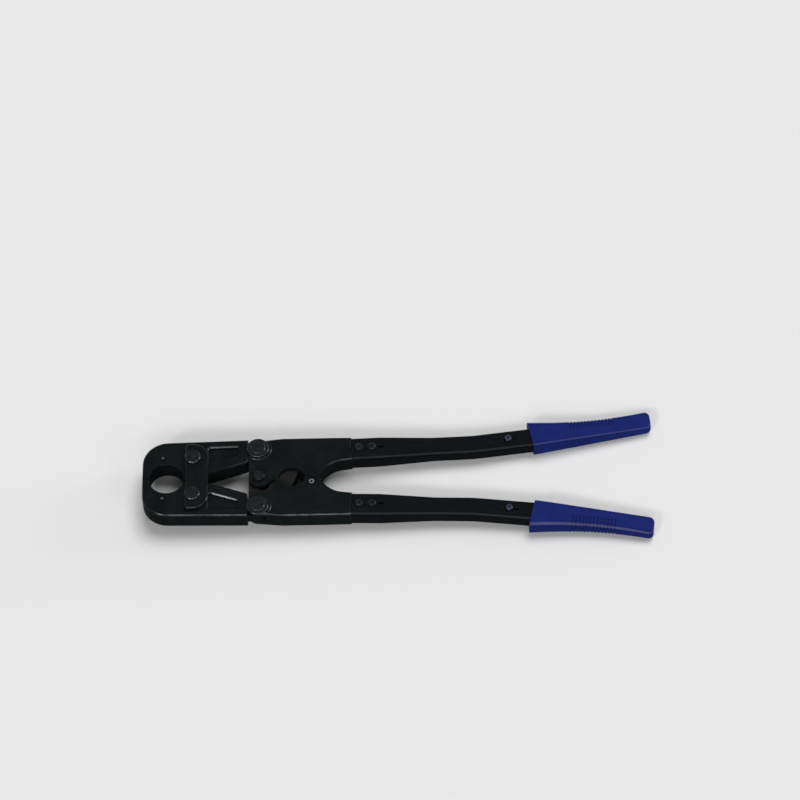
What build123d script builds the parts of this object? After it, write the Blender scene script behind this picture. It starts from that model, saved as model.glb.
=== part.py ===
from build123d import *
import os
from math import acos, atan2, cos, degrees, hypot, radians, sin, sqrt, tan

# Pipe press pliers, lying closed. Two jaws turn in a pair of straps, their tails are pinned to two levers,
# the levers turn on each other at a centre bolt and end in long bent handle tubes with plastic grips.
# Millimetres and degrees. The origin is the centre of the round die seat, midway through the jaws.
# +X runs from the head to the grips, +Y to the upper handle and +Z out of the front strap.
# The upper half is modelled first, and the lower half is its mirror wherever the two are alike.

# Clearances
RUN_CLEAR = 0.05          # radial play of a pin or bolt in what turns on it
FIT_CLEAR = 0.15          # play of a fixed fastener in its hole
FORK_CLEAR = 0.2          # play of a tongue in its fork, on each side
TUBE_CLEAR = 0.2          # play of a shank or core in its tube, on each side
PARTING_GAP = 0.3         # gap between the closed jaws, and between the closed levers
SWING_GAP = 0.4           # room round parts that swing past each other
OVERCUT = 1.0             # how far a cut runs past the face it opens
SAME = 0.001              # two sizes this close count as one

# Head: die seat, jaws and straps
SEAT_R = 19.5             # round seat for the die halves
JAW_T = 22.0              # thickness of jaws and levers
HEAD_FRONT = 27.0         # seat centre to the front of the jaws
HEAD_HALF = 49.6          # seat centre to the outer edge of a jaw
HEAD_CORNER_R = 29.0      # rounding of the front corners
HEAD_FLARE = 1.15         # slope of the outer edges
JAW_EDGE = 1.2            # bevel round the jaws and levers
JAW_OPEN = 19.0           # turn of each jaw when the handles are fully open
TAIL_STOP = 1.2           # half gap left between the jaw tails when fully open
TAIL_CORNER_R = 4.0       # rounding at the end of a tail's inner edge
POCKET_DEPTH = 3.5        # sunk panel in each jaw tail
POCKET_RIM_OUT = 9.3      # rim left beside the outer edge
POCKET_RIM_IN = 13.8      # rim left beside the inner edge
POCKET_RIM_END = 11.1     # rim left before the shoulder
POCKET_CORNER_R = 2.0
POCKET_BEVEL = 1.4        # bevel round the rim of the panel
STRAP_SETBACK = 1.5       # from the edge of the seat to the straps
STRAP_W = 26.0
STRAP_T = 5.0
STRAP_HALF = 43.4         # half height of a strap
STRAP_CORNER_R = 4.0      # rounding of its corners beside the seat
STRAP_TAIL_R = 17.0       # rounding of its corners beside the tails
STRAP_EDGE = 0.8
STRAP_CLEAR = 0.2         # play between a strap and the jaws
PIVOT_INSET = 8.4         # strap edge to the jaw bolts
PIVOT_Y = 24.8            # half distance between the jaw bolts
JAW_BOLT_R = 6.0
JAW_HEAD_R = 8.9
JAW_HEAD_H = 3.0
HEAD_BEVEL = 0.8          # bevel on the jaw bolts' heads
END_BEVEL = 0.5           # bevel on the ends of bolts and pins
NUT_SLOPE = 2.0           # run of a nut's turned corners, to each millimetre of height
JAW_NUT_AF = 18.0         # across the flats
JAW_NUT_H = 5.0
BOLT_END = 0.8            # thread that stands out of a nut

# Die lock buttons, sprung in a bore through each jaw
BUTTON_X = -4.5
BUTTON_LAND = 8.1         # from the edge of the seat to the button's axis
BUTTON_R = 2.2
BUTTON_PROUD = 2.0        # height above the jaw's face
BUTTON_DOME = 0.9         # rounding of its tip
COLLAR_R = 3.4
COLLAR_H = 3.0
LOCK_BORE_R = 3.6
LOCK_WALL = 3.0           # wall left at the jaw's face
LOCK_PLUG_H = 6.0
LOCK_SPRING_WALL = 0.8
PLUG_SOCKET_AF = 3.6
PLUG_SOCKET_H = 3.0

# Levers
CENTRE_X = 104.0          # seat centre to the centre bolt
TAIL_SETBACK = 1.5        # the tail pins stand this far ahead of the centre bolt
TAIL_Y = 38.9             # half distance between the tail pins
TONGUE_T = 11.4           # thickness of a jaw's tongue and of the lower lever's tongue
TONGUE_R = 10.0           # rounding of a jaw's tongue about its tail pin
NOSE_R = 10.6             # rounding of a lever about its tail pin
LOBE_R = 11.7             # rounding of a lever about the centre bolt
LEVER_HALF = 52.5         # half height over the closed levers
LEVER_RISE = 26.0         # centre bolt to where the outer edge is level
LEVER_LEVEL_END = 86.0    # centre bolt to where it slopes to the tube
LEVER_OPEN = 66.2         # turn of each lever when fully open
LENS_X = 21.0             # opening between the levers: centre bolt to its near point
LENS_DROP = 0.6
LENS_PEAK_X = 39.0
LENS_PEAK_Y = 12.2
WEB_X = 40.1              # centre bolt to the slanted end of the lower tongue's web in that opening
WEB_SLANT = 19.0
STOP_X = 51.5             # faces where the closed levers meet
STOP_END_X = 68.0
RUNOUT_X = 77.0           # curved inner edge behind the meeting faces
RUNOUT_DROP = 8.959       # how far its middle lies inside the tube's inner edge
RUNOUT_END_X = 92.0
RUNOUT_RISE = 1.759       # the same at its end
DRIFT_NEAR = 2.25         # slot for the centre bolt's drift in the lower tongue: ends of its middle line
DRIFT_FAR = 8.05
DRIFT_SIDE = 2.45         # how far it is wider than the bolt, on each side
DRIFT_TURN = -58.6
RELIEF_X = 4.6            # middle of the room that the upper lobe needs in the lower lever
RELIEF_Y = 7.4
RELIEF_R = 14.0
RELIEF_RUN = 3.0          # how far that room runs past the lens
RELIEF_STEP = 1.5         # from its flat to the centre bolt's axis
BOSS_R = 15.7             # raised ring on a lever's face round its tail pin
BOSS_H = 0.9
BOSS_BEVEL = 0.7
PIN_R = 5.5
PIN_HEAD_R = 8.2
PIN_HEAD_H = 1.0
PIN_WASHER_R = 12.5
PIN_WASHER_T = 1.0
PIN_BEVEL = 0.5           # bevel on the pin's flat head and on its washer
PIN_END = 3.0             # stub behind the lever that holds the clip
CLIP_R = 8.6
CLIP_T = 1.2
CLIP_GROOVE = 0.7
CLIP_TURN = 60.0          # where the clip's mouth points
CENTRE_BOLT_R = 5.0
CENTRE_HEAD_R = 6.6
CENTRE_HEAD_H = 5.0
CENTRE_HEAD_ROUND = 1.6
CENTRE_NUT_AF = 15.0
CENTRE_NUT_H = 5.0
SCREW_X = 59.0            # centre bolt to the stop screw
SCREW_Y = 7.0             # below the meeting faces
SCREW_R = 3.0
SCREW_L = 15.0
SCREW_PROUD = 0.3
SCREW_SOCKET_AF = 3.0
SCREW_SOCKET_H = 3.0

# Handle tubes
HANDLE_X = 104.0          # centre bolt to the end of the tube
HANDLE_Y = 37.5
TUBE_W = 24.4
TUBE_T = 18.0
TUBE_CORNER_R = 5.0
TUBE_WALL = 2.3
TUBE_FRONT_W = 29.5       # the tube's front, swelled round the lever's shank
TUBE_FRONT_T = 22.0
TUBE_FRONT_L = 32.0
TUBE_TAPER_L = 68.0       # from the swelled front to the plain tube
TAPER_SINK = 0.6          # how much smaller the taper ends than the tube it runs into
HANDLE_TILT = 2.0         # slope of the first stretch
HANDLE_BEND_S = 137.0     # length of the first stretch
HANDLE_BEND = 5.0         # further slope of the second stretch
HANDLE_BEND_R = 150.0
TUBE_TAIL = 80.0          # length of the second stretch
SHANK_L = 31.0            # lever's shank in the tube
SHANK_ROOT = 6.0          # shank that runs on inside the lever
HANDLE_BOLT_S = (8.0, 22.5)
HANDLE_BOLT_R = 3.0
HANDLE_HEAD_R = 4.8
HANDLE_HEAD_H = 2.8
HANDLE_HEAD_ROUND = 1.7
HANDLE_SOCKET_AF = 4.0
HANDLE_SOCKET_H = 1.6
HANDLE_NUT_AF = 9.0
HANDLE_NUT_H = 3.6
SLOT_S = 32.5             # slot in the tube behind the bolts
SLOT_L = 6.5
SLOT_W = 3.0

# Grips, along the second stretch from the bend
GRIP_S = 65.5
GRIP_L = 136.5
GRIP_FRONT_OUT = 21.4     # handle axis to the outer edge at the front
GRIP_WAIST_OUT = 14.9     # the same at the waist
GRIP_REAR_OUT = 18.2      # the same at the rear
GRIP_FRONT_IN = 14.2      # handle axis to the inner edge at the front
GRIP_REAR_IN = 6.2        # the same at the rear
GRIP_WAIST_S = 80.0       # front to the waist of the outer edge
GRIP_FRONT_T = 21.6       # thickness at the front
GRIP_REAR_T = 13.0        # thickness at the rear
GRIP_SEAT_L = 17.0        # stretch round the tube, before the grip thins
GRIP_OUTER_ROUND = 0.4    # rounding of the outer side, as a share of the thickness
GRIP_INNER_R = 4.0        # rounding of the inner side
GRIP_SLANT = 5.5          # slope of the front, whose outer corner stands forward
GRIP_SPARE = 4.0          # length that the slanted cut takes off
GRIP_LIP_R = 0.9
GRIP_END_R = 6.0          # rounding of the rear corners
GRIP_END_THIN = 0.5       # how much the thickness draws in with them
GRIP_END_TURNS = (0, 20, 40, 60, 78)
GRIP_STATIONS = 9
GRIP_FIT = 0.1
RIB_S = 45.0              # first groove between the ribs, from the grip's front
RIB_PITCH = 3.95
RIB_COUNT = 13
RIB_W = 1.5
RIB_DEPTH = 0.9
RIB_FROM = 3.0            # handle axis to where the grooves run out
CORE_S = 28.0             # start of the core, from the bend
CORE_END = 62.0           # core to the grip's rear end
CORE_W = 15.0
CORE_CORNER_R = 3.0
CORE_WALL = 2.2
GRIP_SCREW_S = 39.3
GRIP_SCREW_R = 2.4
GRIP_SCREW_HEAD_R = 4.6
GRIP_SCREW_HEAD_H = 2.6
GRIP_SCREW_ROUND = 1.8
CROSS_L = 5.0             # cross recess in the screw's head
CROSS_W = 1.2
CROSS_H = 1.6
CROSS_TURN = 45.0
PEG_HOLE_S = 47.6         # small hole beside the screw
PEG_HOLE_R = 2.4

# Places worked out from these
HALF_T = JAW_T / 2
HALF_GAP = PARTING_GAP / 2
TONGUE_HALF = TONGUE_T / 2
FORK_HALF = TONGUE_HALF + FORK_CLEAR
STRAP_X = SEAT_R + STRAP_SETBACK
PIVOT_X = STRAP_X + PIVOT_INSET
TAIL_X = CENTRE_X - TAIL_SETBACK
SHOULDER_X = TAIL_X - NOSE_R - SWING_GAP
BOSS_TOP = HALF_T + BOSS_H
STRAP_Z = HALF_T + STRAP_CLEAR
STRAP_TOP = STRAP_Z + STRAP_T
BUTTON_Y = sqrt((SEAT_R + BUTTON_LAND) ** 2 - BUTTON_X ** 2)
TUBE_X = CENTRE_X + HANDLE_X
SECOND_TILT = HANDLE_TILT + HANDLE_BEND
BEND_X = TUBE_X + HANDLE_BEND_S * cos(radians(HANDLE_TILT))
BEND_Y = HANDLE_Y + HANDLE_BEND_S * sin(radians(HANDLE_TILT))
BORE_T = TUBE_T - 2 * TUBE_WALL
CORE_T = BORE_T - 2 * TUBE_CLEAR
FAR = 300.0               # larger than any piece, for cutting


def rod(x, y, radius, low, high):
    return Pos(x, y, low) * Cylinder(radius, high - low, align=(Align.CENTER, Align.CENTER, Align.MIN))


def hexagon(x, y, across_flats, low, high):
    face = RegularPolygon(across_flats / 2, 6, major_radius=False)
    return Pos(x, y, low) * extrude(face, high - low)


def shaft(x, y, radius, low, high):
    """A rod whose lower end is bevelled."""
    plain = rod(x, y, radius, low, high)
    return chamfer(plain.faces().sort_by(Axis.Z)[0].edges(), END_BEVEL)


def slab(face, low, high):
    return Pos(0, 0, low) * extrude(face, high - low)


def on_circle(x, y, radius, angle):
    return (x + radius * cos(radians(angle)), y + radius * sin(radians(angle)))


def tangent_angle(x, y, radius, point, side):
    """The angle on a circle where a line from an outside point touches it."""
    reach = hypot(point[0] - x, point[1] - y)
    towards = degrees(atan2(point[1] - y, point[0] - x))
    return towards + side * degrees(acos(radius / reach))


def arc(x, y, radius, start, end):
    return CenterArc((x, y), radius, start, end - start)


def bevelled(solid, size):
    """Bevels the front and back outlines of a plate, but not the die seat's edge."""
    faces = [solid.faces().sort_by(Axis.Z)[0], solid.faces().sort_by(Axis.Z)[-1]]
    edges = [edge for face in faces for edge in face.edges()]
    seat = [edge for edge in edges if edge.geom_type == GeomType.CIRCLE and abs(edge.radius - SEAT_R) < SAME]
    return chamfer([edge for edge in edges if edge not in seat], size)


def lower(solid):
    return mirror(solid, about=Plane.XZ)


# Upper jaw
def outer_edge_y(x):
    return HEAD_HALF + (x - (HEAD_CORNER_R - HEAD_FRONT)) * tan(radians(HEAD_FLARE))


def inner_edge_y(x):
    """The tail's inner edge, which lies level beside the middle when the jaw is open."""
    turn = radians(JAW_OPEN)
    reach = PIVOT_Y - TAIL_STOP
    foot_x = PIVOT_X + reach * sin(turn)
    foot_y = PIVOT_Y - reach * cos(turn)
    return foot_y + (x - foot_x) * tan(turn)


def jaw_outline():
    seat_x = sqrt(SEAT_R ** 2 - HALF_GAP ** 2)
    seat_angle = degrees(atan2(HALF_GAP, seat_x))
    corner_x = HEAD_CORNER_R - HEAD_FRONT
    corner_y = HEAD_HALF - HEAD_CORNER_R
    meet_x = SHOULDER_X - (inner_edge_y(SHOULDER_X) - HALF_GAP) / tan(radians(JAW_OPEN))
    tail_corner = (SHOULDER_X, inner_edge_y(SHOULDER_X))
    outline = Polyline((-seat_x, HALF_GAP), (-HEAD_FRONT, HALF_GAP), (-HEAD_FRONT, corner_y))
    outline += arc(corner_x, corner_y, HEAD_CORNER_R, 180, 90)
    outline += Polyline((corner_x, HEAD_HALF), (SHOULDER_X, outer_edge_y(SHOULDER_X)), tail_corner,
                        (meet_x, HALF_GAP), (seat_x, HALF_GAP))
    outline += arc(0, 0, SEAT_R, seat_angle, 180 - seat_angle)
    face = make_face(outline.edges())
    return fillet(face.vertices().sort_by_distance(tail_corner)[0], TAIL_CORNER_R)


def jaw_pocket():
    near = STRAP_X + STRAP_W
    far = SHOULDER_X - POCKET_RIM_END
    corners = [
        (near, outer_edge_y(near) - POCKET_RIM_OUT),
        (far, outer_edge_y(far) - POCKET_RIM_OUT),
        (far, inner_edge_y(far) + POCKET_RIM_IN),
        (near, inner_edge_y(near) + POCKET_RIM_IN),
    ]
    face = make_face(Polyline(*corners, close=True).edges())
    face = fillet(face.vertices(), POCKET_CORNER_R)
    front = slab(face, HALF_T - POCKET_DEPTH, HALF_T + OVERCUT)
    back = slab(face, -HALF_T - OVERCUT, -HALF_T + POCKET_DEPTH)
    return front + back


def make_jaw():
    jaw = bevelled(extrude(jaw_outline(), HALF_T, both=True), JAW_EDGE)
    root_x = SHOULDER_X - SWING_GAP
    strip = Pos((root_x + TAIL_X) / 2, TAIL_Y) * Rectangle(TAIL_X - root_x, 2 * TONGUE_R)
    tongue = strip + Pos(TAIL_X, TAIL_Y) * Circle(TONGUE_R)
    jaw += extrude(tongue, TONGUE_HALF, both=True)
    jaw -= jaw_pocket()
    faces = jaw.faces().sort_by(Axis.Z)
    rims = [edge for face in (faces[0], faces[-1]) for wire in face.inner_wires() for edge in wire.edges()]
    jaw = chamfer(rims, POCKET_BEVEL)
    jaw -= rod(PIVOT_X, PIVOT_Y, JAW_BOLT_R + RUN_CLEAR, -HALF_T - OVERCUT, HALF_T + OVERCUT)
    jaw -= rod(TAIL_X, TAIL_Y, PIN_R + RUN_CLEAR, -HALF_T, HALF_T)
    jaw -= rod(BUTTON_X, BUTTON_Y, BUTTON_R + RUN_CLEAR, 0, HALF_T + OVERCUT)
    jaw -= rod(BUTTON_X, BUTTON_Y, LOCK_BORE_R, -HALF_T - OVERCUT, HALF_T - LOCK_WALL)
    return jaw


# Die lock: button, spring and plug in the jaw's bore
COLLAR_TOP = HALF_T - LOCK_WALL - RUN_CLEAR
COLLAR_LOW = COLLAR_TOP - COLLAR_H
PLUG_TOP = LOCK_PLUG_H - HALF_T


def make_lock_button():
    stem = rod(BUTTON_X, BUTTON_Y, BUTTON_R, COLLAR_LOW, HALF_T + BUTTON_PROUD)
    stem = fillet(stem.faces().sort_by(Axis.Z)[-1].edges(), BUTTON_DOME)
    return stem + rod(BUTTON_X, BUTTON_Y, COLLAR_R, COLLAR_LOW, COLLAR_TOP)


def make_lock_spring():
    outer = rod(BUTTON_X, BUTTON_Y, COLLAR_R, PLUG_TOP, COLLAR_LOW)
    inner_r = COLLAR_R - LOCK_SPRING_WALL
    return outer - rod(BUTTON_X, BUTTON_Y, inner_r, PLUG_TOP - OVERCUT, COLLAR_LOW + OVERCUT)


def make_lock_plug():
    plug = rod(BUTTON_X, BUTTON_Y, LOCK_BORE_R - RUN_CLEAR, -HALF_T, PLUG_TOP)
    return plug - hexagon(BUTTON_X, BUTTON_Y, PLUG_SOCKET_AF, -HALF_T - OVERCUT, -HALF_T + PLUG_SOCKET_H)


# Straps and jaw bolts
def make_front_strap():
    face = Pos(STRAP_X + STRAP_W / 2, 0) * Rectangle(STRAP_W, 2 * STRAP_HALF)
    face = fillet(face.vertices().group_by(Axis.X)[-1], STRAP_TAIL_R)
    face = fillet(face.vertices().group_by(Axis.X)[0], STRAP_CORNER_R)
    strap = bevelled(slab(face, STRAP_Z, STRAP_TOP), STRAP_EDGE)
    for side in (1, -1):
        strap -= rod(PIVOT_X, side * PIVOT_Y, JAW_BOLT_R + RUN_CLEAR, 0, STRAP_TOP + OVERCUT)
    return strap


def make_jaw_bolt():
    head = rod(PIVOT_X, PIVOT_Y, JAW_HEAD_R, STRAP_TOP, STRAP_TOP + JAW_HEAD_H)
    head = chamfer(head.faces().sort_by(Axis.Z)[-1].edges(), HEAD_BEVEL)
    return head + shaft(PIVOT_X, PIVOT_Y, JAW_BOLT_R, -STRAP_TOP - JAW_NUT_H - BOLT_END, STRAP_TOP)


def make_nut(x, y, across_flats, bolt_r, low, high):
    """A hexagon nut with its outer corners turned down."""
    nut = hexagon(x, y, across_flats, low, high)
    cone = Cone(across_flats / 2, across_flats / 2 + NUT_SLOPE * (high - low), high - low)
    nut &= Pos(x, y, (low + high) / 2) * cone
    return nut - rod(x, y, bolt_r + RUN_CLEAR, low - OVERCUT, high + OVERCUT)


# Levers
TUBE_AXIS = (cos(radians(HANDLE_TILT)), sin(radians(HANDLE_TILT)))


def beside_tube(along, across):
    """A point along the tube's first stretch, measured from its end, and across it."""
    x = TUBE_X + along * TUBE_AXIS[0] - across * TUBE_AXIS[1]
    return (x, HANDLE_Y + along * TUBE_AXIS[1] + across * TUBE_AXIS[0])


def lens_edge():
    """A lever's edge at the opening between the closed levers."""
    near = (CENTRE_X + LENS_X, -LENS_DROP)
    return ThreePointArc(near, (CENTRE_X + LENS_PEAK_X, LENS_PEAK_Y), (CENTRE_X + STOP_X, HALF_GAP))


def lever_outline():
    rise = (CENTRE_X + LEVER_RISE, LEVER_HALF)
    lens = (CENTRE_X + LENS_X, -LENS_DROP)
    stop = (CENTRE_X + STOP_X, HALF_GAP)
    stop_end = (CENTRE_X + STOP_END_X, HALF_GAP)
    tube_inner = beside_tube(0, -TUBE_FRONT_W / 2)
    runout = (CENTRE_X + RUNOUT_X, tube_inner[1] - RUNOUT_DROP)
    runout_end = (CENTRE_X + RUNOUT_END_X, tube_inner[1] - RUNOUT_RISE)
    nose_angle = tangent_angle(TAIL_X, TAIL_Y, NOSE_R, rise, 1)
    lobe_angle = 360 + tangent_angle(CENTRE_X, 0, LOBE_R, lens, -1)
    outline = Line(rise, on_circle(TAIL_X, TAIL_Y, NOSE_R, nose_angle))
    outline += arc(TAIL_X, TAIL_Y, NOSE_R, nose_angle, 180)
    outline += Line((TAIL_X - NOSE_R, TAIL_Y), (CENTRE_X - LOBE_R, 0))
    outline += arc(CENTRE_X, 0, LOBE_R, 180, lobe_angle)
    outline += Line(on_circle(CENTRE_X, 0, LOBE_R, lobe_angle), lens)
    outline += lens_edge()
    outline += Line(stop, stop_end)
    outline += ThreePointArc(stop_end, runout, runout_end)
    outline += Polyline(runout_end, tube_inner, beside_tube(0, TUBE_FRONT_W / 2),
                        (CENTRE_X + LEVER_LEVEL_END, LEVER_HALF), rise)
    return make_face(outline.edges())


def lever_blank():
    """A lever before its slots, with its shank."""
    blank = bevelled(extrude(lever_outline(), HALF_T, both=True), JAW_EDGE)
    middle = beside_tube((SHANK_L - SHANK_ROOT) / 2, 0)
    inset = TUBE_WALL + TUBE_CLEAR
    shank = Box(SHANK_L + SHANK_ROOT, TUBE_FRONT_W - 2 * inset, TUBE_FRONT_T - 2 * inset)
    shank = fillet(shank.edges().filter_by(Axis.X), TUBE_CORNER_R - inset)
    blank += Pos(middle[0], middle[1], 0) * Rot(0, 0, HANDLE_TILT) * shank
    for along in HANDLE_BOLT_S:
        hole = beside_tube(along, 0)
        blank -= rod(hole[0], hole[1], HANDLE_BOLT_R + FIT_CLEAR, -HALF_T, HALF_T)
    pad = Pos(TAIL_X, TAIL_Y) * Circle(BOSS_R) & offset(lever_outline(), -JAW_EDGE)
    boss = slab(pad, HALF_T, BOSS_TOP)
    blank += chamfer(boss.faces().sort_by(Axis.Z)[-1].edges(), BOSS_BEVEL)
    return blank - rod(TAIL_X, TAIL_Y, PIN_R + RUN_CLEAR, -HALF_T - OVERCUT, BOSS_TOP + OVERCUT)


def jaw_slot():
    """Room for the jaw's tongue in a lever's fork, from closed to fully open."""
    radius = TONGUE_R + SWING_GAP
    room = Pos(TAIL_X, TAIL_Y) * Circle(radius)
    room += Pos(TAIL_X - FAR / 2, TAIL_Y + FAR / 2 - radius) * Rectangle(FAR, FAR)
    room += Pos(TAIL_X, TAIL_Y + FAR / 2) * Rectangle(2 * radius, FAR)
    return extrude(room, FORK_HALF, both=True)


def centre_relief():
    """The room that one lever's lobe sweeps in the other, seen from the lower lever."""
    lens = (CENTRE_X + LENS_X, -LENS_DROP)
    lobe_angle = tangent_angle(CENTRE_X, 0, LOBE_R, lens, -1)
    touch = on_circle(CENTRE_X, 0, LOBE_R + SWING_GAP, lobe_angle)
    slope = tan(radians(lobe_angle + 90))
    past = CENTRE_X + LENS_X + RELIEF_RUN
    edge = Polyline(touch, (past, touch[1] + (past - touch[0]) * slope), (past, LOBE_R), (touch[0], LOBE_R),
                    close=True)
    swept = radians(2 * LEVER_OPEN - 180)
    reach = LOBE_R + 2 * SWING_GAP
    near_x = -reach
    far_x = -RELIEF_STEP
    wedge = Polyline(
        (CENTRE_X + near_x, (reach - near_x * cos(swept)) / sin(swept)),
        (CENTRE_X + far_x, (reach - far_x * cos(swept)) / sin(swept)),
        (CENTRE_X + far_x, 0),
        (CENTRE_X + near_x, 0),
        close=True,
    )
    room = make_face(edge.edges()) + make_face(wedge.edges())
    room += Pos(CENTRE_X + RELIEF_X, -RELIEF_Y) * Circle(RELIEF_R)
    room += Pos(CENTRE_X, 0) * Circle(LOBE_R + SWING_GAP)
    return room


def make_upper_lever():
    lever = lever_blank() - jaw_slot()
    lever -= extrude(mirror(centre_relief(), about=Plane.XZ), FORK_HALF, both=True)
    return lever - rod(CENTRE_X, 0, CENTRE_BOLT_R + RUN_CLEAR, -HALF_T - OVERCUT, HALF_T + OVERCUT)


def lens_web():
    """The part of the lower tongue that shows in the opening, up to its slanted end."""
    edge = lens_edge()
    web = Pos(edge.arc_center.X, edge.arc_center.Y) * Circle(edge.radius - SWING_GAP)
    beyond = Pos(FAR / 2, 0) * Rectangle(FAR, FAR)
    web -= Pos(CENTRE_X + WEB_X, 0) * Rot(0, 0, -WEB_SLANT) * beyond
    return extrude(web, TONGUE_HALF, both=True)


def make_lower_lever():
    lever = lower(lever_blank() - jaw_slot()) + lens_web()
    lever -= slab(centre_relief(), TONGUE_HALF, HALF_T + OVERCUT)
    lever -= slab(centre_relief(), -HALF_T - OVERCUT, -TONGUE_HALF)
    drift = SlotCenterToCenter(DRIFT_FAR - DRIFT_NEAR, 2 * (CENTRE_BOLT_R + DRIFT_SIDE))
    drift = Rot(0, 0, DRIFT_TURN) * Pos((DRIFT_NEAR + DRIFT_FAR) / 2, 0) * drift
    lever -= Pos(CENTRE_X, 0) * extrude(drift, HALF_T, both=True)
    floor = HALF_T + SCREW_PROUD - SCREW_L
    return lever - rod(CENTRE_X + SCREW_X, -SCREW_Y, SCREW_R + RUN_CLEAR, floor - FIT_CLEAR, HALF_T + OVERCUT)


# Pins, bolts and the stop screw of the levers
def make_tail_pin():
    head_low = BOSS_TOP + PIN_WASHER_T
    head = rod(TAIL_X, TAIL_Y, PIN_HEAD_R, head_low, head_low + PIN_HEAD_H)
    head = chamfer(head.faces().sort_by(Axis.Z)[-1].edges(), PIN_BEVEL)
    pin = head + shaft(TAIL_X, TAIL_Y, PIN_R, -HALF_T - PIN_END, head_low)
    groove = rod(TAIL_X, TAIL_Y, PIN_R + OVERCUT, -HALF_T - CLIP_T - FIT_CLEAR, -HALF_T)
    return pin - (groove - rod(TAIL_X, TAIL_Y, PIN_R - CLIP_GROOVE, -FAR, FAR))


def make_tail_washer():
    washer = rod(TAIL_X, TAIL_Y, PIN_WASHER_R, BOSS_TOP, BOSS_TOP + PIN_WASHER_T)
    washer = chamfer(washer.faces().sort_by(Axis.Z)[-1].edges(), PIN_BEVEL)
    return washer - rod(TAIL_X, TAIL_Y, PIN_R + RUN_CLEAR, 0, FAR)


def make_tail_clip():
    """A spring clip pushed into the pin's groove from outside, open on one side."""
    clip = rod(TAIL_X, TAIL_Y, CLIP_R, -HALF_T - CLIP_T, -HALF_T)
    clip -= rod(TAIL_X, TAIL_Y, PIN_R - CLIP_GROOVE + RUN_CLEAR, -FAR, FAR)
    mouth = Box(FAR, 2 * (PIN_R - CLIP_GROOVE), FAR, align=(Align.MIN, Align.CENTER, Align.CENTER))
    return clip - Pos(TAIL_X, TAIL_Y) * Rot(0, 0, CLIP_TURN) * mouth


def make_centre_bolt():
    head = rod(CENTRE_X, 0, CENTRE_HEAD_R, HALF_T, HALF_T + CENTRE_HEAD_H)
    head = fillet(head.faces().sort_by(Axis.Z)[-1].edges(), CENTRE_HEAD_ROUND)
    return head + shaft(CENTRE_X, 0, CENTRE_BOLT_R, -HALF_T - CENTRE_NUT_H - BOLT_END, HALF_T)


def make_stop_screw():
    x = CENTRE_X + SCREW_X
    top = HALF_T + SCREW_PROUD
    screw = rod(x, -SCREW_Y, SCREW_R, top - SCREW_L, top)
    return screw - hexagon(x, -SCREW_Y, SCREW_SOCKET_AF, top - SCREW_SOCKET_H, top + OVERCUT)


# Handle tube and what fixes it to the lever
def across_plane(x, y, tilt):
    """A plane square to a handle's axis: its x runs outwards, its y along Z."""
    turn = radians(tilt)
    return Plane(origin=(x, y, 0), x_dir=(-sin(turn), cos(turn), 0), z_dir=(cos(turn), sin(turn), 0))


def beside_grip(along, across):
    """A point along the handle's second stretch, measured from the bend, and across it."""
    turn = radians(SECOND_TILT)
    x = BEND_X + along * cos(turn) - across * sin(turn)
    return (x, BEND_Y + along * sin(turn) + across * cos(turn))


def tube_section(width, thickness, inset):
    """The tube's outer outline, or the outline of its bore, at one place."""
    return RectangleRounded(width - 2 * inset, thickness - 2 * inset, TUBE_CORNER_R - inset)


def tube_body(inset):
    """The tube's outer form, or its bore: swelled at the front, then plain, with one bend."""
    end = beside_grip(TUBE_TAIL, 0)
    path = FilletPolyline(beside_tube(0, 0), (BEND_X, BEND_Y), end, radius=HANDLE_BEND_R)
    front_end = across_plane(*beside_tube(0, 0), HANDLE_TILT)
    taper_start = across_plane(*beside_tube(TUBE_FRONT_L, 0), HANDLE_TILT)
    taper_end = across_plane(*beside_tube(TUBE_FRONT_L + TUBE_TAPER_L, 0), HANDLE_TILT)
    wide = tube_section(TUBE_FRONT_W, TUBE_FRONT_T, inset)
    buried = tube_section(TUBE_W - TAPER_SINK, TUBE_T - TAPER_SINK, inset)
    body = sweep(front_end * tube_section(TUBE_W, TUBE_T, inset), path)
    body += extrude(front_end * wide, TUBE_FRONT_L)
    return body + loft([taper_start * wide, taper_end * buried])


def make_handle_tube():
    tube = tube_body(0) - tube_body(TUBE_WALL)
    for along in HANDLE_BOLT_S:
        hole = beside_tube(along, 0)
        tube -= rod(hole[0], hole[1], HANDLE_BOLT_R + FIT_CLEAR, -TUBE_T, TUBE_T)
    slot = beside_tube(SLOT_S, 0)
    tube -= Pos(slot[0], slot[1], 0) * Rot(0, 0, HANDLE_TILT) * extrude(SlotOverall(SLOT_L, SLOT_W), TUBE_T)
    screw = beside_grip(GRIP_SCREW_S, 0)
    tube -= rod(screw[0], screw[1], GRIP_SCREW_R + FIT_CLEAR, 0, TUBE_T)
    peg = beside_grip(PEG_HOLE_S, 0)
    return tube - rod(peg[0], peg[1], PEG_HOLE_R, 0, TUBE_T)


def make_handle_bolts():
    top = TUBE_FRONT_T / 2
    bolts = []
    for along in HANDLE_BOLT_S:
        x, y = beside_tube(along, 0)
        head = rod(x, y, HANDLE_HEAD_R, top, top + HANDLE_HEAD_H)
        head = fillet(head.faces().sort_by(Axis.Z)[-1].edges(), HANDLE_HEAD_ROUND)
        head -= hexagon(x, y, HANDLE_SOCKET_AF, top + HANDLE_HEAD_H - HANDLE_SOCKET_H, FAR)
        bolts.append(head + shaft(x, y, HANDLE_BOLT_R, -top - HANDLE_NUT_H - BOLT_END, top))
    return Compound(bolts)


def make_handle_nuts():
    top = TUBE_FRONT_T / 2
    nuts = []
    for along in HANDLE_BOLT_S:
        x, y = beside_tube(along, 0)
        nuts.append(make_nut(x, y, HANDLE_NUT_AF, HANDLE_BOLT_R, -top - HANDLE_NUT_H, -top))
    return Compound(nuts)


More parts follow.
